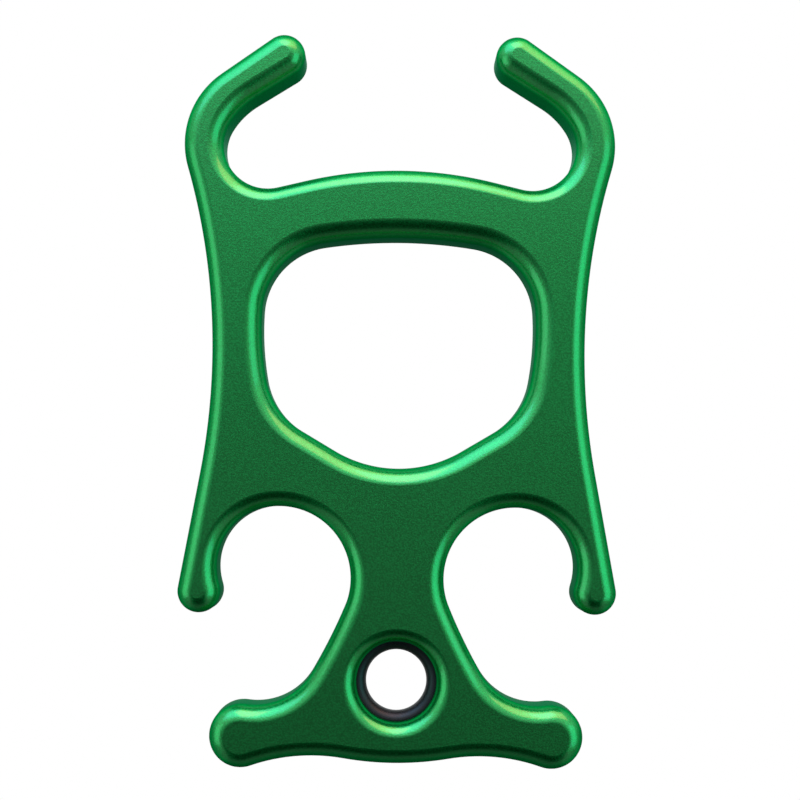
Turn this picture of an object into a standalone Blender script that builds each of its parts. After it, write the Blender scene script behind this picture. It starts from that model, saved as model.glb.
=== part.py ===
"""Canyoning descender: a thick rounded plate with rope horns, and a rubber ring in its carabiner eye.

It stands upright with +Z up and its front face towards -Y. The origin is the centre of the eye.
Every size below is in millimetres. The model itself is in metres.
"""

import math

import bmesh
import bpy

MM = 0.001

# Plate
PLATE_THICKNESS = 13.5
EDGE_ROUND = 3.1
HOLE_EDGE_ROUND = 3.45
LEAST_FLAT = 0.4

# Carabiner eye and its rubber ring
EYE_BORE_RADIUS = 8.1
EYE_EDGE_ROUND = 2.7
RING_SECTION_RADIUS = 2.0
RING_PROUD = 1.95
RING_CLEARANCE = 0.3

# Foot: two round lobes, the fillets over them and the belly under the eye
METAL_UNDER_EYE = 8.15
METAL_BESIDE_EYE = 8.4
BELLY_RADIUS = 64.4
UNDERSIDE_HOLLOW_RADIUS = 37.9
LOBE_RADIUS = 6.35
LOBE_SPREAD = 31.3
LOBE_DROP = 10.9
FOOT_FILLET_RADIUS = 13.3

# Neck and the two lower rope pockets
NECK_HALF_WIDTH = 9.45
NECK_SIDE_RADIUS = 110.0
LOWER_POCKET_NECK_RADIUS = 14.6
LOWER_POCKET_HORN_RADIUS = 12.2
LOWER_POCKET_BLEND_ANGLE = 7.5
LOWER_POCKET_RISE = 20.6
LOWER_TIP_RADIUS = 4.35
LOWER_TIP_DROP = 5.0

# Shoulders and waist
SHOULDER_HALF_WIDTH = 44.5
SHOULDER_RADIUS = 17.85
SHOULDER_OVER_CROWN = 5.45
WAIST_INSET = 6.35
WAIST_RISE = 66.0

# Upper horns and the two upper rope pockets
HORN_WIDTH = 8.1
UPPER_POCKET_RADIUS = 9.1
THROAT_RADIUS = 16.1
THROAT_BLEND_ANGLE = 32.0
HORN_TIP_RADIUS = 4.35
HORN_LEAN = 16.0
HORN_TIP_OVER_SHOULDER = 18.4

# Crowned bar over the big hole
CROWN_OVER_WAIST = 38.45
CROWN_RADIUS = 82.3
CROWN_RUNOUT = 6.0
BAR_DEPTH = 13.95

# Big hole
SIDE_BAR_WIDTH = 10.05
HOLE_TOP_RADIUS = 100.0
HOLE_UPPER_CORNER_RADIUS = 14.8
HOLE_SIDE_RADIUS = 60.0
HOLE_SIDE_OVER_WAIST = 6.2
HOLE_LOWER_CORNER_RADIUS = 15.6
HOLE_LOWER_CORNER_DROP = 8.25
HOLE_BOTTOM_RADIUS = 25.4
HOLE_BOTTOM_UNDER_WAIST = 23.0

# Facets
CHORD_ERROR = 0.03
LONGEST_TURN = math.radians(14)
SHORTEST_STRAIGHT = 0.3
NO_TURN = 1.9 * math.pi
EDGE_ROUND_STEPS = 5
EYE_STEPS = 60
GROOVE_STEPS = 8
RING_SECTION_STEPS = 20


def height_over(centre, reach, x):
    """Height at which a point at x lies straight above a centre or beside it, at the given reach."""
    return centre[1] + math.sqrt(max(reach**2 - (x - centre[0]) ** 2, 0.0))


def meet(first, first_distance, second, second_distance, side):
    """The point at the given distances from two centres, on the left (1) or right (-1) of first to second."""
    dx = second[0] - first[0]
    dz = second[1] - first[1]
    gap = math.hypot(dx, dz)
    along = (first_distance**2 - second_distance**2 + gap**2) / (2 * gap)
    across = side * math.sqrt(max(first_distance**2 - along**2, 0.0))
    x = first[0] + (along * dx - across * dz) / gap
    z = first[1] + (along * dz + across * dx) / gap
    return x, z


def flowing_radius(shoulder, shoulder_radius, half_width, rise):
    """Radius of the waist arc that is narrowest at this height and flows into the shoulder."""
    dx = half_width - shoulder[0]
    dz = rise - shoulder[1]
    return (shoulder_radius**2 - dx**2 - dz**2) / (2 * (dx - shoulder_radius))


def outer_pegs():
    """Centres and radii of the arcs from the crown down the right side to the belly.

    A radius is positive where the metal bulges and negative where it is hollow.
    """
    crown_rise = WAIST_RISE + CROWN_OVER_WAIST
    crown = (0.0, crown_rise - CROWN_RADIUS)
    pocket_x = SHOULDER_HALF_WIDTH - HORN_WIDTH - UPPER_POCKET_RADIUS
    pocket_reach = math.hypot(CROWN_RADIUS + UPPER_POCKET_RADIUS, CROWN_RUNOUT)
    pocket = (pocket_x, height_over(crown, pocket_reach, pocket_x))
    blend = math.radians(THROAT_BLEND_ANGLE)
    shift = THROAT_RADIUS - UPPER_POCKET_RADIUS
    throat = (pocket[0] - shift * math.cos(blend), pocket[1] - shift * math.sin(blend))
    shoulder = (SHOULDER_HALF_WIDTH - SHOULDER_RADIUS, crown_rise + SHOULDER_OVER_CROWN)
    horn_tip_x = SHOULDER_HALF_WIDTH - HORN_LEAN - HORN_TIP_RADIUS
    horn_tip = (horn_tip_x, shoulder[1] + HORN_TIP_OVER_SHOULDER)
    waist_half_width = SHOULDER_HALF_WIDTH - WAIST_INSET
    waist_radius = flowing_radius(shoulder, SHOULDER_RADIUS, waist_half_width, WAIST_RISE)
    waist = (waist_half_width + waist_radius, WAIST_RISE)
    pocket_neck = (NECK_HALF_WIDTH + LOWER_POCKET_NECK_RADIUS, LOWER_POCKET_RISE)
    blend = math.radians(LOWER_POCKET_BLEND_ANGLE)
    shift = LOWER_POCKET_NECK_RADIUS - LOWER_POCKET_HORN_RADIUS
    pocket_horn = (pocket_neck[0] + shift * math.sin(blend), pocket_neck[1] + shift * math.cos(blend))
    tip_reach = LOWER_POCKET_HORN_RADIUS + LOWER_TIP_RADIUS
    tip_x = pocket_horn[0] + math.sqrt(max(tip_reach**2 - LOWER_TIP_DROP**2, 0.0))
    lower_tip = (tip_x, pocket_horn[1] - LOWER_TIP_DROP)
    lobe = (LOBE_SPREAD, -LOBE_DROP)
    foot = meet(
        (0.0, 0.0),
        EYE_BORE_RADIUS + METAL_BESIDE_EYE + FOOT_FILLET_RADIUS,
        lobe,
        LOBE_RADIUS + FOOT_FILLET_RADIUS,
        1,
    )
    neck_side = meet(
        pocket_neck,
        NECK_SIDE_RADIUS - LOWER_POCKET_NECK_RADIUS,
        foot,
        NECK_SIDE_RADIUS - FOOT_FILLET_RADIUS,
        1,
    )
    belly = (0.0, BELLY_RADIUS - EYE_BORE_RADIUS - METAL_UNDER_EYE)
    underside = meet(
        lobe,
        LOBE_RADIUS + UNDERSIDE_HOLLOW_RADIUS,
        belly,
        BELLY_RADIUS + UNDERSIDE_HOLLOW_RADIUS,
        1,
    )
    return [
        (*crown, CROWN_RADIUS),
        (*pocket, -UPPER_POCKET_RADIUS),
        (*throat, -THROAT_RADIUS),
        (*horn_tip, HORN_TIP_RADIUS),
        (*shoulder, SHOULDER_RADIUS),
        (*waist, -waist_radius),
        (*lower_tip, LOWER_TIP_RADIUS),
        (*pocket_horn, -LOWER_POCKET_HORN_RADIUS),
        (*pocket_neck, -LOWER_POCKET_NECK_RADIUS),
        (*neck_side, -NECK_SIDE_RADIUS),
        (*foot, -FOOT_FILLET_RADIUS),
        (*lobe, LOBE_RADIUS),
        (*underside, -UNDERSIDE_HOLLOW_RADIUS),
        (*belly, BELLY_RADIUS),
    ]


def hole_pegs():
    """Centres and radii of the big hole's arcs, from its top centre down the right side."""
    top = (0.0, WAIST_RISE + CROWN_OVER_WAIST - BAR_DEPTH - HOLE_TOP_RADIUS)
    half_width = SHOULDER_HALF_WIDTH - WAIST_INSET - SIDE_BAR_WIDTH
    side = (half_width - HOLE_SIDE_RADIUS, WAIST_RISE + HOLE_SIDE_OVER_WAIST)
    upper_corner = meet(
        top,
        HOLE_TOP_RADIUS - HOLE_UPPER_CORNER_RADIUS,
        side,
        HOLE_SIDE_RADIUS - HOLE_UPPER_CORNER_RADIUS,
        -1,
    )
    corner_reach = HOLE_SIDE_RADIUS - HOLE_LOWER_CORNER_RADIUS
    corner_x = side[0] + math.sqrt(max(corner_reach**2 - HOLE_LOWER_CORNER_DROP**2, 0.0))
    bottom = (0.0, WAIST_RISE - HOLE_BOTTOM_UNDER_WAIST + HOLE_BOTTOM_RADIUS)
    return [
        (*top, HOLE_TOP_RADIUS),
        (*upper_corner, HOLE_UPPER_CORNER_RADIUS),
        (*side, HOLE_SIDE_RADIUS),
        (corner_x, side[1] - HOLE_LOWER_CORNER_DROP, HOLE_LOWER_CORNER_RADIUS),
        (*bottom, HOLE_BOTTOM_RADIUS),
    ]


def arcs(pegs):
    """Start heading, turn and straight run-in of each arc, where the outline runs over the pegs like a belt."""
    headings = [0.0]
    straights = [0.0]
    for (x0, z0, r0), (x1, z1, r1) in zip(pegs, pegs[1:], strict=False):
        change = r1 - r0
        straight = math.sqrt(max((x1 - x0) ** 2 + (z1 - z0) ** 2 - change**2, 0.0))
        headings.append(math.atan2(z1 - z0, x1 - x0) + math.atan2(change, straight))
        straights.append(straight)
    headings.append(-math.pi)
    found = []
    for i, (_, _, radius) in enumerate(pegs):
        away = -1 if radius > 0 else 1
        turn = (away * (headings[i + 1] - headings[i])) % math.tau
        if turn > NO_TURN:
            turn = 0.0
        found.append((headings[i], away * turn, straights[i]))
    return found


def outline(pegs, inset):
    """Closed outline as (x, z) points, moved into the metal of the outer edge by inset."""
    right = []
    for (x, z, radius), (start, turn, straight) in zip(pegs, arcs(pegs), strict=True):
        finest = 2 * math.acos(1 - CHORD_ERROR / abs(radius))
        steps = max(1, math.ceil(abs(turn) / min(finest, LONGEST_TURN)))
        reach = radius - inset
        first = 1 if right and straight < SHORTEST_STRAIGHT else 0
        for step in range(first, steps + 1):
            heading = start + turn * step / steps
            right.append((x - reach * math.sin(heading), z + reach * math.cos(heading)))
    right[0] = (0.0, right[0][1])
    right[-1] = (0.0, right[-1][1])
    left = [(-x, z) for x, z in reversed(right[1:-1])]
    return right + left


def circle(radius):
    """Round outline about the eye's centre."""
    points = []
    for step in range(EYE_STEPS):
        angle = math.tau * step / EYE_STEPS
        points.append((radius * math.sin(angle), radius * math.cos(angle)))
    return points


def rounded_edge(rounding):
    """(inset, y) pairs from the front flat round the edge to the back flat."""
    half = PLATE_THICKNESS / 2
    front = []
    for step in range(EDGE_ROUND_STEPS + 1):
        angle = math.pi / 2 * step / EDGE_ROUND_STEPS
        front.append((rounding * (1 - math.sin(angle)), rounding * (1 - math.cos(angle)) - half))
    return front + [(inset, -y) for inset, y in reversed(front)]


def ring_centre_radius():
    return EYE_BORE_RADIUS - RING_PROUD + RING_SECTION_RADIUS


def eye_profile(rounding):
    """(radius, y) pairs through the eye: front edge round, ring groove, back edge round."""
    edge = [(EYE_BORE_RADIUS + inset, y) for inset, y in rounded_edge(rounding)]
    groove_radius = RING_SECTION_RADIUS + RING_CLEARANCE
    centre = ring_centre_radius()
    mouth = math.acos(max(-1.0, min(1.0, (EYE_BORE_RADIUS - centre) / groove_radius)))
    groove = []
    for step in range(GROOVE_STEPS + 1):
        angle = mouth * (2 * step / GROOVE_STEPS - 1)
        groove.append((centre + groove_radius * math.cos(angle), groove_radius * math.sin(angle)))
    middle = len(edge) // 2
    return edge[:middle] + groove + edge[middle:]


def add_loop(mesh, points, y):
    return [mesh.verts.new((x * MM, y * MM, z * MM)) for x, z in points]


def bridge(mesh, loops):
    """Quads between each loop and the next."""
    for near, far in zip(loops, loops[1:], strict=False):
        count = len(near)
        for i in range(count):
            j = (i + 1) % count
            mesh.faces.new((near[i], near[j], far[j], far[i]))


def fill_flat(mesh, loops):
    """Flat face inside the first loop and outside the others."""
    edges = []
    for loop in loops:
        for i, vert in enumerate(loop):
            edges.append(mesh.edges.get((vert, loop[i - 1])))
    bmesh.ops.triangle_fill(mesh, edges=edges, use_beauty=True)


def make_object(name, mesh, material):
    bmesh.ops.recalc_face_normals(mesh, faces=mesh.faces[:])
    data = bpy.data.meshes.new(name)
    mesh.to_mesh(data)
    mesh.free()
    data.materials.append(material)
    thing = bpy.data.objects.new(name, data)
    bpy.context.scene.collection.objects.link(thing)
    return thing


def make_material(name, colour, roughness, metallic):
    material = bpy.data.materials.new(name)
    material.use_nodes = True
    shader = material.node_tree.nodes["Principled BSDF"]
    shader.inputs["Base Color"].default_value = (*colour, 1.0)
    shader.inputs["Roughness"].default_value = roughness
    shader.inputs["Metallic"].default_value = metallic
    return material


def depth_to(point, deeper, start, end):
    """How far in from a point of the edge, by way of a deeper point, a stretch of edge is met."""
    inward = (deeper[0] - point[0], deeper[1] - point[1])
    along = (end[0] - start[0], end[1] - start[1])
    across = (start[0] - point[0], start[1] - point[1])
    spread = inward[0] * along[1] - inward[1] * along[0]
    if spread == 0.0:
        return math.inf
    depth = (across[0] * along[1] - across[1] * along[0]) / spread
    share = (across[0] * inward[1] - across[1] * inward[0]) / spread
    return depth if 0 <= share <= 1 and depth > LEAST_FLAT else math.inf


def thinnest_web(outer, hole):
    """Least metal straight in from any point of the outer edge or of the big hole's edge."""
    edges = [outline(outer, 0.0), outline(hole, 0.0)]
    insides = [outline(outer, 1.0), outline(hole, -1.0)]
    webs = []
    for edge, inside in zip(edges, insides, strict=True):
        for point, deeper in zip(edge, inside, strict=True):
            for other in edges:
                webs += [depth_to(point, deeper, other[i - 1], end) for i, end in enumerate(other)]
    return min(webs)


def largest_edge_round(outer, hole):
    """The most that the edges can be rounded, inside the smallest bulge and half of the thinnest metal."""
    smallest_bulge = min(radius for _, _, radius in outer if radius > 0)
    thinnest = min(PLATE_THICKNESS, 2 * smallest_bulge, thinnest_web(outer, hole))
    return (thinnest - LEAST_FLAT) / 2


def make_body():
    """Plate with the big hole and the grooved eye, its edges rounded on both faces."""
    mesh = bmesh.new()
    outer = outer_pegs()
    hole = hole_pegs()
    most = largest_edge_round(outer, hole)
    outer_edge = rounded_edge(min(EDGE_ROUND, most))
    hole_edge = rounded_edge(min(HOLE_EDGE_ROUND, most))
    groove_half = RING_SECTION_RADIUS + RING_CLEARANCE
    eye_rounding = min(EYE_EDGE_ROUND, PLATE_THICKNESS / 2 - groove_half - LEAST_FLAT)
    walls = [
        [add_loop(mesh, outline(outer, inset), y) for inset, y in outer_edge],
        [add_loop(mesh, outline(hole, -inset), y) for inset, y in hole_edge],
        [add_loop(mesh, circle(radius), y) for radius, y in eye_profile(eye_rounding)],
    ]
    for wall in walls:
        bridge(mesh, wall)
    fill_flat(mesh, [wall[0] for wall in walls])
    fill_flat(mesh, [wall[-1] for wall in walls])
    green = make_material("green_anodised_aluminium", (0.010, 0.235, 0.062), 0.38, 1.0)
    return make_object("descender_body", mesh, green)


def make_ring():
    """Round-section rubber ring, seated in the eye's groove."""
    mesh = bmesh.new()
    centre = ring_centre_radius()
    loops = []
    for step in range(RING_SECTION_STEPS):
        angle = math.tau * step / RING_SECTION_STEPS
        radius = centre + RING_SECTION_RADIUS * math.cos(angle)
        loops.append(add_loop(mesh, circle(radius), RING_SECTION_RADIUS * math.sin(angle)))
    bridge(mesh, [*loops, loops[0]])
    rubber = make_material("black_rubber", (0.012, 0.012, 0.014), 0.5, 0.0)
    return make_object("carabiner_ring", mesh, rubber)


def main():
    for thing in list(bpy.data.objects):
        bpy.data.objects.remove(thing)
    body = make_body()
    ring = make_ring()
    ring.parent = body


main()
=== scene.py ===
"""Looks of the canyoning descender: a green anodised plate with a black rubber ring in its eye.

The sizes of the plate and the ring are in millimetres. The studio's sizes are in metres.
"""

import math

import bmesh
import bpy
from mathutils import Matrix, Vector


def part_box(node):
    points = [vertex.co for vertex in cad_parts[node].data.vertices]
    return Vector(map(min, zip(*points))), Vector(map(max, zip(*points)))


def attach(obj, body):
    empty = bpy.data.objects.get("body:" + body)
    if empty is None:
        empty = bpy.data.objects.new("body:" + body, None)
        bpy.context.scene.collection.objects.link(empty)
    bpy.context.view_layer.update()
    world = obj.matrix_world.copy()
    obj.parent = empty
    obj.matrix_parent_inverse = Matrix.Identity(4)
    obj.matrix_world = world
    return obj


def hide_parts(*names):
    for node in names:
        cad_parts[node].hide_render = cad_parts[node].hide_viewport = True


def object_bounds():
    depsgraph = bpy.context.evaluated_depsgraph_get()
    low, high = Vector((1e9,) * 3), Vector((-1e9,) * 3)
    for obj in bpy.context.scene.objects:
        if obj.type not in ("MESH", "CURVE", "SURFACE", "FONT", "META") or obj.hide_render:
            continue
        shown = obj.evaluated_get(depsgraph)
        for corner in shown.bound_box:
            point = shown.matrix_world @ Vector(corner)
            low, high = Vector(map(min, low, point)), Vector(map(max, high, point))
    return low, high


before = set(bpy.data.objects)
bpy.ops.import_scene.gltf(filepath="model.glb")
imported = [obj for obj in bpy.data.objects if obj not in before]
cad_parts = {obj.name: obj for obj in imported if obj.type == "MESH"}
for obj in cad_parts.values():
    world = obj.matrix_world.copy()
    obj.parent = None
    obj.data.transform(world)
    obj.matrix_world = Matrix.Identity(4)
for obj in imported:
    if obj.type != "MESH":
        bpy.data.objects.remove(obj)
CAD_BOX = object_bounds()

MM = 0.001

# Plate, in the sizes that the CAD part writes. A limit of that part holds its hole's round to 3.21.
# The edge break is the angle at which the rounds meet the flats. The CAD part's rounds have none.
PLATE_THICKNESS = (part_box("descender_body")[1][1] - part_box("descender_body")[0][1]) / MM
EDGE_ROUND = 3.1
HOLE_EDGE_ROUND = 3.45
EDGE_BREAK = math.radians(7)

# Carabiner eye and its rubber ring
EYE_BORE_RADIUS = 8.1
EYE_EDGE_ROUND = 2.7
RING_SECTION_RADIUS = 2.0
RING_PROUD = 1.95
RING_CLEARANCE = 0.3

# Foot: two round lobes, the fillets over them and the belly under the eye
METAL_UNDER_EYE = 8.15
METAL_BESIDE_EYE = 8.4
BELLY_RADIUS = 64.4
UNDERSIDE_HOLLOW_RADIUS = 37.9
LOBE_RADIUS = 6.35
LOBE_SPREAD = 31.3
LOBE_DROP = 10.9
FOOT_FILLET_RADIUS = 13.3

# Neck and the two lower rope pockets
NECK_HALF_WIDTH = 9.45
NECK_SIDE_RADIUS = 110.0
LOWER_POCKET_NECK_RADIUS = 14.6
LOWER_POCKET_HORN_RADIUS = 12.2
LOWER_POCKET_BLEND_ANGLE = 7.5
LOWER_POCKET_RISE = 20.6
LOWER_TIP_RADIUS = 4.35
LOWER_TIP_DROP = 5.0

# Shoulders and waist
SHOULDER_HALF_WIDTH = 44.5
SHOULDER_RADIUS = 17.85
SHOULDER_OVER_CROWN = 5.45
WAIST_INSET = 6.35
WAIST_RISE = 66.0

# Upper horns and the two upper rope pockets
HORN_WIDTH = 8.1
UPPER_POCKET_RADIUS = 9.1
THROAT_RADIUS = 16.1
THROAT_BLEND_ANGLE = 32.0
HORN_TIP_RADIUS = 4.35
HORN_LEAN = 16.0
HORN_TIP_OVER_SHOULDER = 18.4

# Crowned bar over the big hole
CROWN_OVER_WAIST = 38.45
CROWN_RADIUS = 82.3
CROWN_RUNOUT = 6.0
BAR_DEPTH = 13.95

# Big hole
SIDE_BAR_WIDTH = 10.05
HOLE_TOP_RADIUS = 100.0
HOLE_UPPER_CORNER_RADIUS = 14.8
HOLE_SIDE_RADIUS = 60.0
HOLE_SIDE_OVER_WAIST = 6.2
HOLE_LOWER_CORNER_RADIUS = 15.6
HOLE_LOWER_CORNER_DROP = 8.25
HOLE_BOTTOM_RADIUS = 25.4
HOLE_BOTTOM_UNDER_WAIST = 23.0

# Fineness of the shown meshes
CHORD_ERROR = 0.004
LONGEST_TURN = math.radians(4)
SHORTEST_STRAIGHT = 0.3
NO_TURN = 1.9 * math.pi
EDGE_ROUND_STEPS = 12
FLAT_MARGIN = 0.05
EYE_STEPS = 180
GROOVE_STEPS = 16
RING_SECTION_STEPS = 64

# Anodised plate: linear colours, noise scales per metre and the weight of each effect
DEEP_DYE = (0.003, 0.212, 0.042, 1.0)
PALE_DYE = (0.004, 0.232, 0.048, 1.0)
SPARKLE_GREEN = (0.010, 0.350, 0.080, 1.0)
GLANCING_TINT = (0.2, 0.44, 0.42, 1.0)
BLAST_SCALE = 3000.0
PITTING_SCALE = 1500.0
DYE_SCALE = 45.0
SPARKLE_RAMP = (0.38, 0.62)
SPARKLE_SHARE = 0.45
PITTING_SHARE = 0.5
PLATE_ROUGHNESS = 0.30
PLATE_ROUGHNESS_GRAIN = 0.10
SKIN_WEIGHT = 0.75
SKIN_FADE_RAMP = (0.08, 0.55)

# Rubber: linear colours, noise scales per metre and roughness
RUBBER_BLACK = (0.002, 0.002, 0.003, 1.0)
RUBBER_BLOOM = (0.006, 0.006, 0.007, 1.0)
RUBBER_TINT = (0.7, 0.95, 1.0, 1.0)
RUBBER_GRAIN_SCALE = 1800.0
BLOOM_SCALE = 160.0
RUBBER_ROUGHNESS = 0.36
RUBBER_ROUGHNESS_GRAIN = 0.12

# Depth of the fine relief of both finishes, in metres
RELIEF_DEPTH = 0.00005

# Camera, read from the photograph
PHOTO_WIDTH_PIXELS = 800
FOCAL_LENGTH_PIXELS = 1500
HORIZON_BELOW_MIDDLE_PIXELS = 95
CAMERA_PLACE = (-0.002877, -0.30965, 0.03763)
CAMERA_YAW = math.radians(0.600)
CAMERA_PITCH = math.atan(HORIZON_BELOW_MIDDLE_PIXELS / FOCAL_LENGTH_PIXELS)
CAMERA_ROLL = math.radians(0.412)
CAMERA_SENSOR = 36.0
CAMERA_LENS = CAMERA_SENSOR * FOCAL_LENGTH_PIXELS / PHOTO_WIDTH_PIXELS
CAMERA_CLIP_START = 0.01

# Floor and lamps
WHITE = (1.0, 1.0, 1.0, 1.0)
FLOOR_COLOUR = (0.9, 0.9, 0.9, 1.0)
FLOOR_DROP = 0.5
FLOOR_RADIUS = 4.0
FLOOR_STEPS = 96
FLOOR_WHITE_SHARE = 0.6
FLOOR_FADE_RAMP = (0.3, 1.2)
LIGHT_DISTANCE = 0.9

# World. A ramp runs over x, y or z of a unit direction, or over x squared for both sides alike.
SEEN_RAYS = ("Is Camera Ray", "Is Glossy Ray", "Is Transmission Ray")
ASIDE_RAMP = (0.1, 0.3)
UNDER_RAMP = (0.35, 0.7)
BEHIND_RAMP = (0.0, 0.4)
CEILING_RAMP = (0.0, 0.5)
CLOTH_FRONT_RAMP = (0.2, 0.6)
CLOTH_TOP_RAMP = (0.08, 0.32)
CLOTH_SHADE_RAMP = (-0.45, 0.05)
SKIRT_BACK_RAMP = (0.2, 0.6)
SKIRT_WIDTH_RAMP = (0.0, 0.12)
SKIRT_TOP_RAMP = (-0.1, 0.1)
ROOM_STRENGTH = 0.45
ASIDE_GAIN = 0.25
CEILING_GAIN = 0.85
UNDER_LOSS = 0.2
CLOTH_STRENGTH = 0.25
SKIRT_LOSS = 0.4
MATT_STRENGTH = 0.4


def height_over(centre, reach, x):
    """Height at which a point at x lies straight above a centre or beside it, at the given reach."""
    return centre[1] + math.sqrt(reach**2 - (x - centre[0]) ** 2)


def meet(first, first_distance, second, second_distance, side):
    """Point at the given distances from two centres, left (1) or right (-1) of first to second."""
    dx = second[0] - first[0]
    dz = second[1] - first[1]
    gap = math.hypot(dx, dz)
    along = (first_distance**2 - second_distance**2 + gap**2) / (2 * gap)
    across = side * math.sqrt(first_distance**2 - along**2)
    x = first[0] + (along * dx - across * dz) / gap
    z = first[1] + (along * dz + across * dx) / gap
    return x, z


def flowing_radius(shoulder, shoulder_radius, half_width, rise):
    """Radius of the waist arc that is narrowest at this height and flows into the shoulder."""
    dx = half_width - shoulder[0]
    dz = rise - shoulder[1]
    return (shoulder_radius**2 - dx**2 - dz**2) / (2 * (dx - shoulder_radius))


def outer_pegs():
    """Centres and radii of the arcs from the crown down the right side to the belly.

    A radius is positive where the metal bulges and negative where it is hollow.
    """
    crown_rise = WAIST_RISE + CROWN_OVER_WAIST
    crown = (0.0, crown_rise - CROWN_RADIUS)
    pocket_x = SHOULDER_HALF_WIDTH - HORN_WIDTH - UPPER_POCKET_RADIUS
    pocket_reach = math.hypot(CROWN_RADIUS + UPPER_POCKET_RADIUS, CROWN_RUNOUT)
    pocket = (pocket_x, height_over(crown, pocket_reach, pocket_x))
    blend = math.radians(THROAT_BLEND_ANGLE)
    shift = THROAT_RADIUS - UPPER_POCKET_RADIUS
    throat = (pocket[0] - shift * math.cos(blend), pocket[1] - shift * math.sin(blend))
    shoulder = (SHOULDER_HALF_WIDTH - SHOULDER_RADIUS, crown_rise + SHOULDER_OVER_CROWN)
    horn_tip_x = SHOULDER_HALF_WIDTH - HORN_LEAN - HORN_TIP_RADIUS
    horn_tip = (horn_tip_x, shoulder[1] + HORN_TIP_OVER_SHOULDER)
    waist_half_width = SHOULDER_HALF_WIDTH - WAIST_INSET
    waist_radius = flowing_radius(shoulder, SHOULDER_RADIUS, waist_half_width, WAIST_RISE)
    waist = (waist_half_width + waist_radius, WAIST_RISE)
    pocket_neck = (NECK_HALF_WIDTH + LOWER_POCKET_NECK_RADIUS, LOWER_POCKET_RISE)
    blend = math.radians(LOWER_POCKET_BLEND_ANGLE)
    shift = LOWER_POCKET_NECK_RADIUS - LOWER_POCKET_HORN_RADIUS
    pocket_horn = (pocket_neck[0] + shift * math.sin(blend), pocket_neck[1] + shift * math.cos(blend))
    tip_reach = LOWER_POCKET_HORN_RADIUS + LOWER_TIP_RADIUS
    tip_x = pocket_horn[0] + math.sqrt(tip_reach**2 - LOWER_TIP_DROP**2)
    lower_tip = (tip_x, pocket_horn[1] - LOWER_TIP_DROP)
    lobe = (LOBE_SPREAD, -LOBE_DROP)
    foot = meet(
        (0.0, 0.0),
        EYE_BORE_RADIUS + METAL_BESIDE_EYE + FOOT_FILLET_RADIUS,
        lobe,
        LOBE_RADIUS + FOOT_FILLET_RADIUS,
        1,
    )
    neck_side = meet(
        pocket_neck,
        NECK_SIDE_RADIUS - LOWER_POCKET_NECK_RADIUS,
        foot,
        NECK_SIDE_RADIUS - FOOT_FILLET_RADIUS,
        1,
    )
    belly = (0.0, BELLY_RADIUS - EYE_BORE_RADIUS - METAL_UNDER_EYE)
    underside = meet(
        lobe,
        LOBE_RADIUS + UNDERSIDE_HOLLOW_RADIUS,
        belly,
        BELLY_RADIUS + UNDERSIDE_HOLLOW_RADIUS,
        1,
    )
    return [
        (*crown, CROWN_RADIUS),
        (*pocket, -UPPER_POCKET_RADIUS),
        (*throat, -THROAT_RADIUS),
        (*horn_tip, HORN_TIP_RADIUS),
        (*shoulder, SHOULDER_RADIUS),
        (*waist, -waist_radius),
        (*lower_tip, LOWER_TIP_RADIUS),
        (*pocket_horn, -LOWER_POCKET_HORN_RADIUS),
        (*pocket_neck, -LOWER_POCKET_NECK_RADIUS),
        (*neck_side, -NECK_SIDE_RADIUS),
        (*foot, -FOOT_FILLET_RADIUS),
        (*lobe, LOBE_RADIUS),
        (*underside, -UNDERSIDE_HOLLOW_RADIUS),
        (*belly, BELLY_RADIUS),
    ]


def hole_pegs():
    """Centres and radii of the big hole's arcs, from its top centre down the right side."""
    top = (0.0, WAIST_RISE + CROWN_OVER_WAIST - BAR_DEPTH - HOLE_TOP_RADIUS)
    half_width = SHOULDER_HALF_WIDTH - WAIST_INSET - SIDE_BAR_WIDTH
    side = (half_width - HOLE_SIDE_RADIUS, WAIST_RISE + HOLE_SIDE_OVER_WAIST)
    upper_corner = meet(
        top,
        HOLE_TOP_RADIUS - HOLE_UPPER_CORNER_RADIUS,
        side,
        HOLE_SIDE_RADIUS - HOLE_UPPER_CORNER_RADIUS,
        -1,
    )
    corner_reach = HOLE_SIDE_RADIUS - HOLE_LOWER_CORNER_RADIUS
    corner_x = side[0] + math.sqrt(corner_reach**2 - HOLE_LOWER_CORNER_DROP**2)
    bottom = (0.0, WAIST_RISE - HOLE_BOTTOM_UNDER_WAIST + HOLE_BOTTOM_RADIUS)
    return [
        (*top, HOLE_TOP_RADIUS),
        (*upper_corner, HOLE_UPPER_CORNER_RADIUS),
        (*side, HOLE_SIDE_RADIUS),
        (corner_x, side[1] - HOLE_LOWER_CORNER_DROP, HOLE_LOWER_CORNER_RADIUS),
        (*bottom, HOLE_BOTTOM_RADIUS),
    ]


def arcs(pegs):
    """Start heading, turn and straight run-in of each arc.

    The outline runs over the pegs like a belt.
    """
    headings = [0.0]
    straights = [0.0]
    for (x0, z0, r0), (x1, z1, r1) in zip(pegs, pegs[1:], strict=False):
        change = r1 - r0
        straight = math.sqrt(max((x1 - x0) ** 2 + (z1 - z0) ** 2 - change**2, 0.0))
        headings.append(math.atan2(z1 - z0, x1 - x0) + math.atan2(change, straight))
        straights.append(straight)
    headings.append(-math.pi)
    found = []
    for i, (_, _, radius) in enumerate(pegs):
        away = -1 if radius > 0 else 1
        turn = (away * (headings[i + 1] - headings[i])) % math.tau
        if turn > NO_TURN:
            turn = 0.0
        found.append((headings[i], away * turn, straights[i]))
    return found


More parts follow.
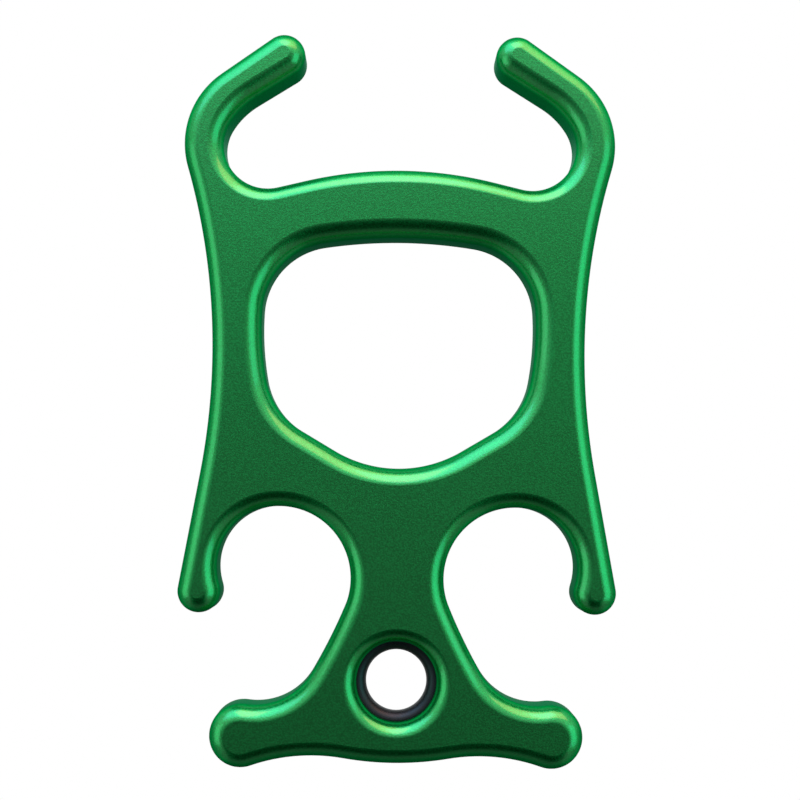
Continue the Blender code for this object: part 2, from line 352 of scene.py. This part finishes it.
def outline(pegs, inset):
    """Closed outline as (x, z) points, moved into the metal of the outer edge by inset."""
    right = []
    for (x, z, radius), (start, turn, straight) in zip(pegs, arcs(pegs), strict=True):
        finest = 2 * math.acos(1 - CHORD_ERROR / abs(radius))
        steps = max(1, math.ceil(abs(turn) / min(finest, LONGEST_TURN)))
        reach = radius - inset
        first = 1 if right and straight < SHORTEST_STRAIGHT else 0
        for step in range(first, steps + 1):
            heading = start + turn * step / steps
            right.append((x - reach * math.sin(heading), z + reach * math.cos(heading)))
    right[0] = (0.0, right[0][1])
    right[-1] = (0.0, right[-1][1])
    left = [(-x, z) for x, z in reversed(right[1:-1])]
    return right + left


def circle(radius):
    """Round outline about the eye's centre."""
    points = []
    for step in range(EYE_STEPS):
        angle = math.tau * step / EYE_STEPS
        points.append((radius * math.sin(angle), radius * math.cos(angle)))
    return points


def rounded_edge(rounding):
    """(inset, y) pairs from just inside the front flat, round the edge, to just inside the back flat.

    The round meets the flat at a slight angle. The first and last pairs keep its shade off the flats.
    """
    half = PLATE_THICKNESS / 2
    radius = rounding / (1 - math.sin(EDGE_BREAK))
    depth = radius * math.cos(EDGE_BREAK)
    front = [(rounding + FLAT_MARGIN, -half)]
    for step in range(EDGE_ROUND_STEPS + 1):
        angle = EDGE_BREAK + (math.pi / 2 - EDGE_BREAK) * step / EDGE_ROUND_STEPS
        front.append((radius * (1 - math.sin(angle)), depth - radius * math.cos(angle) - half))
    return front + [(inset, -y) for inset, y in reversed(front)]


def ring_centre_radius():
    """Distance from the eye's centre to the middle of the ring's round section."""
    return EYE_BORE_RADIUS - RING_PROUD + RING_SECTION_RADIUS


def eye_profile():
    """(radius, y) pairs through the eye: front edge round, ring groove, back edge round."""
    edge = [(EYE_BORE_RADIUS + inset, y) for inset, y in rounded_edge(EYE_EDGE_ROUND)]
    groove_radius = RING_SECTION_RADIUS + RING_CLEARANCE
    centre = ring_centre_radius()
    mouth = math.acos((EYE_BORE_RADIUS - centre) / groove_radius)
    groove = []
    for step in range(GROOVE_STEPS + 1):
        angle = mouth * (2 * step / GROOVE_STEPS - 1)
        groove.append((centre + groove_radius * math.cos(angle), groove_radius * math.sin(angle)))
    middle = len(edge) // 2
    return edge[:middle] + groove + edge[middle:]


def add_loop(mesh, points, y):
    return [mesh.verts.new((x * MM, y * MM, z * MM)) for x, z in points]


def bridge(mesh, loops):
    """Quads between each loop and the next."""
    for near, far in zip(loops, loops[1:], strict=False):
        count = len(near)
        for i in range(count):
            j = (i + 1) % count
            mesh.faces.new((near[i], near[j], far[j], far[i]))


def fill_flat(mesh, loops):
    """Flat face inside the first loop and outside the others."""
    edges = []
    for loop in loops:
        for i, vert in enumerate(loop):
            edges.append(mesh.edges.get((vert, loop[i - 1])))
    bmesh.ops.triangle_fill(mesh, edges=edges, use_beauty=True)


def make_piece(name, mesh, material):
    """Smooth-shaded object of a finished mesh."""
    bmesh.ops.recalc_face_normals(mesh, faces=mesh.faces[:])
    for face in mesh.faces:
        face.smooth = True
    data = bpy.data.meshes.new(name)
    mesh.to_mesh(data)
    mesh.free()
    data.materials.append(material)
    piece = bpy.data.objects.new(name, data)
    bpy.context.scene.collection.objects.link(piece)
    return piece


def make_plate(finish):
    """Plate with the big hole and the grooved eye, its edges rounded on both faces."""
    mesh = bmesh.new()
    outer_edge = rounded_edge(EDGE_ROUND)
    hole_edge = rounded_edge(HOLE_EDGE_ROUND)
    walls = [
        [add_loop(mesh, outline(outer_pegs(), inset), y) for inset, y in outer_edge],
        [add_loop(mesh, outline(hole_pegs(), -inset), y) for inset, y in hole_edge],
        [add_loop(mesh, circle(radius), y) for radius, y in eye_profile()],
    ]
    for wall in walls:
        bridge(mesh, wall)
    fill_flat(mesh, [wall[0] for wall in walls])
    fill_flat(mesh, [wall[-1] for wall in walls])
    return make_piece("anodised_plate", mesh, finish)


def make_ring(finish):
    """Round-section rubber ring, seated in the eye's groove."""
    mesh = bmesh.new()
    centre = ring_centre_radius()
    loops = []
    for step in range(RING_SECTION_STEPS):
        angle = math.tau * step / RING_SECTION_STEPS
        radius = centre + RING_SECTION_RADIUS * math.cos(angle)
        loops.append(add_loop(mesh, circle(radius), RING_SECTION_RADIUS * math.sin(angle)))
    bridge(mesh, [*loops, loops[0]])
    return make_piece("rubber_eye_ring", mesh, finish)


class Wire:
    """An output socket that sums, differences and products can be written with."""

    def __init__(self, tree, socket):
        self.tree = tree
        self.socket = socket

    def maths(self, operation, first, second):
        return add_node(self.tree, "ShaderNodeMath", {"operation": operation}, {0: first, 1: second})

    def __add__(self, other):
        return self.maths("ADD", self, other)

    def __sub__(self, other):
        return self.maths("SUBTRACT", self, other)

    def __rsub__(self, other):
        return self.maths("SUBTRACT", other, self)

    def __mul__(self, other):
        return self.maths("MULTIPLY", self, other)

    __radd__ = __add__
    __rmul__ = __mul__


def fill_sockets(tree, node, sockets):
    """Links the wires and writes the constants."""
    for name, value in sockets.items():
        if isinstance(value, Wire):
            tree.links.new(value.socket, node.inputs[name])
        else:
            node.inputs[name].default_value = value


def add_node(tree, kind, settings, sockets, output=0):
    """Wire from one output of a new node, whose settings are made before its sockets are filled."""
    node = tree.nodes.new(kind)
    for name, value in settings.items():
        setattr(node, name, value)
    fill_sockets(tree, node, sockets)
    return Wire(tree, node.outputs[output])


def new_finish(name):
    """An empty material and its node tree."""
    material = bpy.data.materials.new(name)
    material.use_nodes = True
    return material, material.node_tree


def noise(tree, place, scale, detail, roughness=0.5):
    sockets = {"Vector": place, "Scale": scale, "Detail": detail, "Roughness": roughness}
    return add_node(tree, "ShaderNodeTexNoise", {}, sockets)


def eased(tree, value, low, high):
    """0 below low, 1 above high, and a smooth rise between them."""
    sockets = {"Value": value, "From Min": low, "From Max": high}
    return add_node(tree, "ShaderNodeMapRange", {"interpolation_type": "SMOOTHSTEP"}, sockets)


def blend(tree, share, first, second):
    """Mix of two colours."""
    settings = {"data_type": "RGBA"}
    return add_node(tree, "ShaderNodeMix", settings, {0: share, 6: first, 7: second}, 2)


def place_on(tree):
    """Place on the object, in metres."""
    return add_node(tree, "ShaderNodeTexCoord", {}, {}, "Object")


def seen_rays(tree):
    """1 or 0 for a ray from the camera, one off a shiny face and one through a clear thing."""
    return [add_node(tree, "ShaderNodeLightPath", {}, {}, name) for name in SEEN_RAYS]


def anodised_finish():
    """Bead-blasted aluminium, dyed green, with a clear sealed skin."""
    material, tree = new_finish("green_anodised_aluminium")
    place = place_on(tree)
    blast = noise(tree, place, BLAST_SCALE, detail=1.0)
    pitting = noise(tree, place, PITTING_SCALE, detail=2.0)
    dye = noise(tree, place, DYE_SCALE, detail=3.0)
    cloudy = blend(tree, dye, DEEP_DYE, PALE_DYE)
    sparkle = eased(tree, blast, *SPARKLE_RAMP)
    green = blend(tree, SPARKLE_SHARE * sparkle, cloudy, SPARKLE_GREEN)
    glancing = add_node(tree, "ShaderNodeLayerWeight", {}, {}, "Facing")
    relief = {"Strength": 0.4, "Distance": RELIEF_DEPTH, "Height": blast + PITTING_SHARE * pitting}
    sockets = {
        "Base Color": green,
        "Metallic": 1.0,
        "Specular Tint": GLANCING_TINT,
        "Roughness": PLATE_ROUGHNESS + PLATE_ROUGHNESS_GRAIN * blast,
        "Normal": add_node(tree, "ShaderNodeBump", {}, relief),
        "Coat Weight": SKIN_WEIGHT * (1 - eased(tree, glancing, *SKIN_FADE_RAMP)),
        "Coat Roughness": 0.14,
        "Coat IOR": 1.5,
    }
    fill_sockets(tree, tree.nodes["Principled BSDF"], sockets)
    return material


def rubber_finish():
    """Moulded black rubber with a faint bloom."""
    material, tree = new_finish("black_rubber")
    place = place_on(tree)
    grain = noise(tree, place, RUBBER_GRAIN_SCALE, detail=3.0)
    bloom = noise(tree, place, BLOOM_SCALE, detail=3.0)
    relief = {"Strength": 0.2, "Distance": RELIEF_DEPTH, "Height": grain}
    sockets = {
        "Base Color": blend(tree, bloom, RUBBER_BLACK, RUBBER_BLOOM),
        "Specular IOR Level": 0.32,
        "Specular Tint": RUBBER_TINT,
        "Roughness": RUBBER_ROUGHNESS + RUBBER_ROUGHNESS_GRAIN * grain,
        "Normal": add_node(tree, "ShaderNodeBump", {}, relief),
    }
    fill_sockets(tree, tree.nodes["Principled BSDF"], sockets)
    return material


def dress_part():
    """Puts the fine pieces in place of the CAD nodes."""
    dressed = [
        (make_plate(anodised_finish()), "descender_body", "green_anodised_aluminium"),
        (make_ring(rubber_finish()), "carabiner_ring", "black_rubber"),
    ]
    for piece, node, slot in dressed:
        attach(piece, "root")
        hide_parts(node)


def floor_finish():
    """Pale floor that keeps the part's soft shadow and runs out into the white behind it."""
    material, tree = new_finish("pale_floor")
    place = place_on(tree)
    distance = add_node(tree, "ShaderNodeVectorMath", {"operation": "LENGTH"}, {0: place}, "Value")
    far = eased(tree, distance, *FLOOR_FADE_RAMP)
    camera, glossy, through = seen_rays(tree)
    share = (camera + glossy + through) * (FLOOR_WHITE_SHARE + (1 - FLOOR_WHITE_SHARE) * far)
    white = add_node(tree, "ShaderNodeEmission", {}, {"Color": WHITE, "Strength": 1.0})
    shader = tree.nodes["Principled BSDF"]
    fill_sockets(tree, shader, {"Base Color": FLOOR_COLOUR, "Roughness": 0.9})
    lit = Wire(tree, shader.outputs[0])
    mixed = add_node(tree, "ShaderNodeMixShader", {}, {0: share, 1: lit, 2: white})
    tree.links.new(mixed.socket, tree.nodes["Material Output"].inputs["Surface"])
    return material


def make_floor():
    """Round pale floor below the part."""
    mesh = bmesh.new()
    bmesh.ops.create_circle(mesh, cap_ends=True, segments=FLOOR_STEPS, radius=FLOOR_RADIUS)
    data = bpy.data.meshes.new("floor")
    mesh.to_mesh(data)
    mesh.free()
    data.materials.append(floor_finish())
    floor = bpy.data.objects.new("floor", data)
    floor.location.z = CAD_BOX[0][2] - FLOOR_DROP
    floor.visible_glossy = False
    bpy.context.scene.collection.objects.link(floor)


def part_centre():
    """Middle of the solids' box."""
    return (Vector(CAD_BOX[0]) + Vector(CAD_BOX[1])) / 2


def softbox(name, azimuth, elevation, width, height, radiance, colour):
    """Soft rectangular lamp, facing the part. The azimuth runs from the front (0) towards +X."""
    lamp = bpy.data.lights.new(name, "AREA")
    lamp.shape = "RECTANGLE"
    lamp.size = width
    lamp.size_y = height
    lamp.energy = radiance * math.pi * width * height
    lamp.color = colour
    turn = math.radians(azimuth)
    rise = math.radians(elevation)
    out = Vector((math.sin(turn) * math.cos(rise), -math.cos(turn) * math.cos(rise), math.sin(rise)))
    thing = bpy.data.objects.new(name, lamp)
    thing.location = part_centre() + LIGHT_DISTANCE * out
    thing.rotation_euler = out.to_track_quat("Z", "Y").to_euler()
    thing.visible_camera = False
    bpy.context.scene.collection.objects.link(thing)


def make_world():
    """White to the camera, and soft light on matt surfaces.

    Shiny surfaces see a bright ceiling, a dim room that is brighter behind on both sides and darker
    straight below, a dark cloth low in front, and a dim skirt low behind.
    """
    world = bpy.data.worlds.new("studio_white")
    world.use_nodes = True
    tree = world.node_tree
    camera, glossy, through = seen_rays(tree)
    towards = add_node(tree, "ShaderNodeTexCoord", {}, {}, "Generated")
    x, y, z = [add_node(tree, "ShaderNodeSeparateXYZ", {}, {0: towards}, axis) for axis in "XYZ"]
    aside = eased(tree, x * x, *ASIDE_RAMP)
    under = eased(tree, -1 * z, *UNDER_RAMP)
    behind = eased(tree, y, *BEHIND_RAMP)
    ceiling = CEILING_GAIN * eased(tree, z, *CEILING_RAMP)
    room = ROOM_STRENGTH + ASIDE_GAIN * aside * behind + ceiling - UNDER_LOSS * under * (1 - aside)
    above_cloth = eased(tree, z, *CLOTH_TOP_RAMP)
    cloth = eased(tree, -1 * y, *CLOTH_FRONT_RAMP) * (1 - aside) * (1 - above_cloth)
    dark = CLOTH_STRENGTH * eased(tree, z, *CLOTH_SHADE_RAMP)
    narrow = 1 - eased(tree, x * x, *SKIRT_WIDTH_RAMP)
    above_skirt = eased(tree, z, *SKIRT_TOP_RAMP)
    skirt = eased(tree, y, *SKIRT_BACK_RAMP) * narrow * (1 - above_skirt) * (1 - under)
    seen = camera + (glossy + through) * (room * (1 - SKIRT_LOSS * skirt) + cloth * (dark - room))
    matt = MATT_STRENGTH * (1 - camera - glossy - through)
    fill_sockets(tree, tree.nodes["Background"], {"Color": WHITE, "Strength": seen + matt})
    bpy.context.scene.world = world


def make_camera():
    """Camera at the photograph's place."""
    data = bpy.data.cameras.new("camera")
    data.sensor_width = CAMERA_SENSOR
    data.lens = CAMERA_LENS
    data.clip_start = CAMERA_CLIP_START
    ahead = Vector((
        math.sin(CAMERA_YAW) * math.cos(CAMERA_PITCH),
        math.cos(CAMERA_YAW) * math.cos(CAMERA_PITCH),
        math.sin(CAMERA_PITCH),
    ))
    level_right = Vector((math.cos(CAMERA_YAW), -math.sin(CAMERA_YAW), 0.0))
    level_up = level_right.cross(ahead)
    right = math.cos(CAMERA_ROLL) * level_right + math.sin(CAMERA_ROLL) * level_up
    up = right.cross(ahead)
    camera = bpy.data.objects.new("camera", data)
    turned = Matrix((right, up, -ahead)).transposed().to_4x4()
    camera.matrix_world = Matrix.Translation(CAMERA_PLACE) @ turned
    bpy.context.scene.collection.objects.link(camera)
    bpy.context.scene.camera = camera


def light_studio():
    """Two big softboxes high in front, and a strip low on each side."""
    softbox(
        "high_left_softbox",
        azimuth=-30,
        elevation=55,
        width=1.0,
        height=0.8,
        radiance=2.1,
        colour=(0.4, 1.0, 1.7),
    )
    softbox(
        "high_right_softbox",
        azimuth=30,
        elevation=60,
        width=1.0,
        height=0.8,
        radiance=1.75,
        colour=(3.3, 1.0, 0.6),
    )
    softbox(
        "left_strip",
        azimuth=-64,
        elevation=-6,
        width=0.6,
        height=0.64,
        radiance=1.65,
        colour=(0.5, 1.0, 0.85),
    )
    softbox(
        "right_strip",
        azimuth=58,
        elevation=-4,
        width=0.65,
        height=0.7,
        radiance=2.0,
        colour=(0.15, 1.0, 0.9),
    )


bpy.context.scene.view_settings.view_transform = "Standard"
make_camera()
make_world()
light_studio()
make_floor()
dress_part()
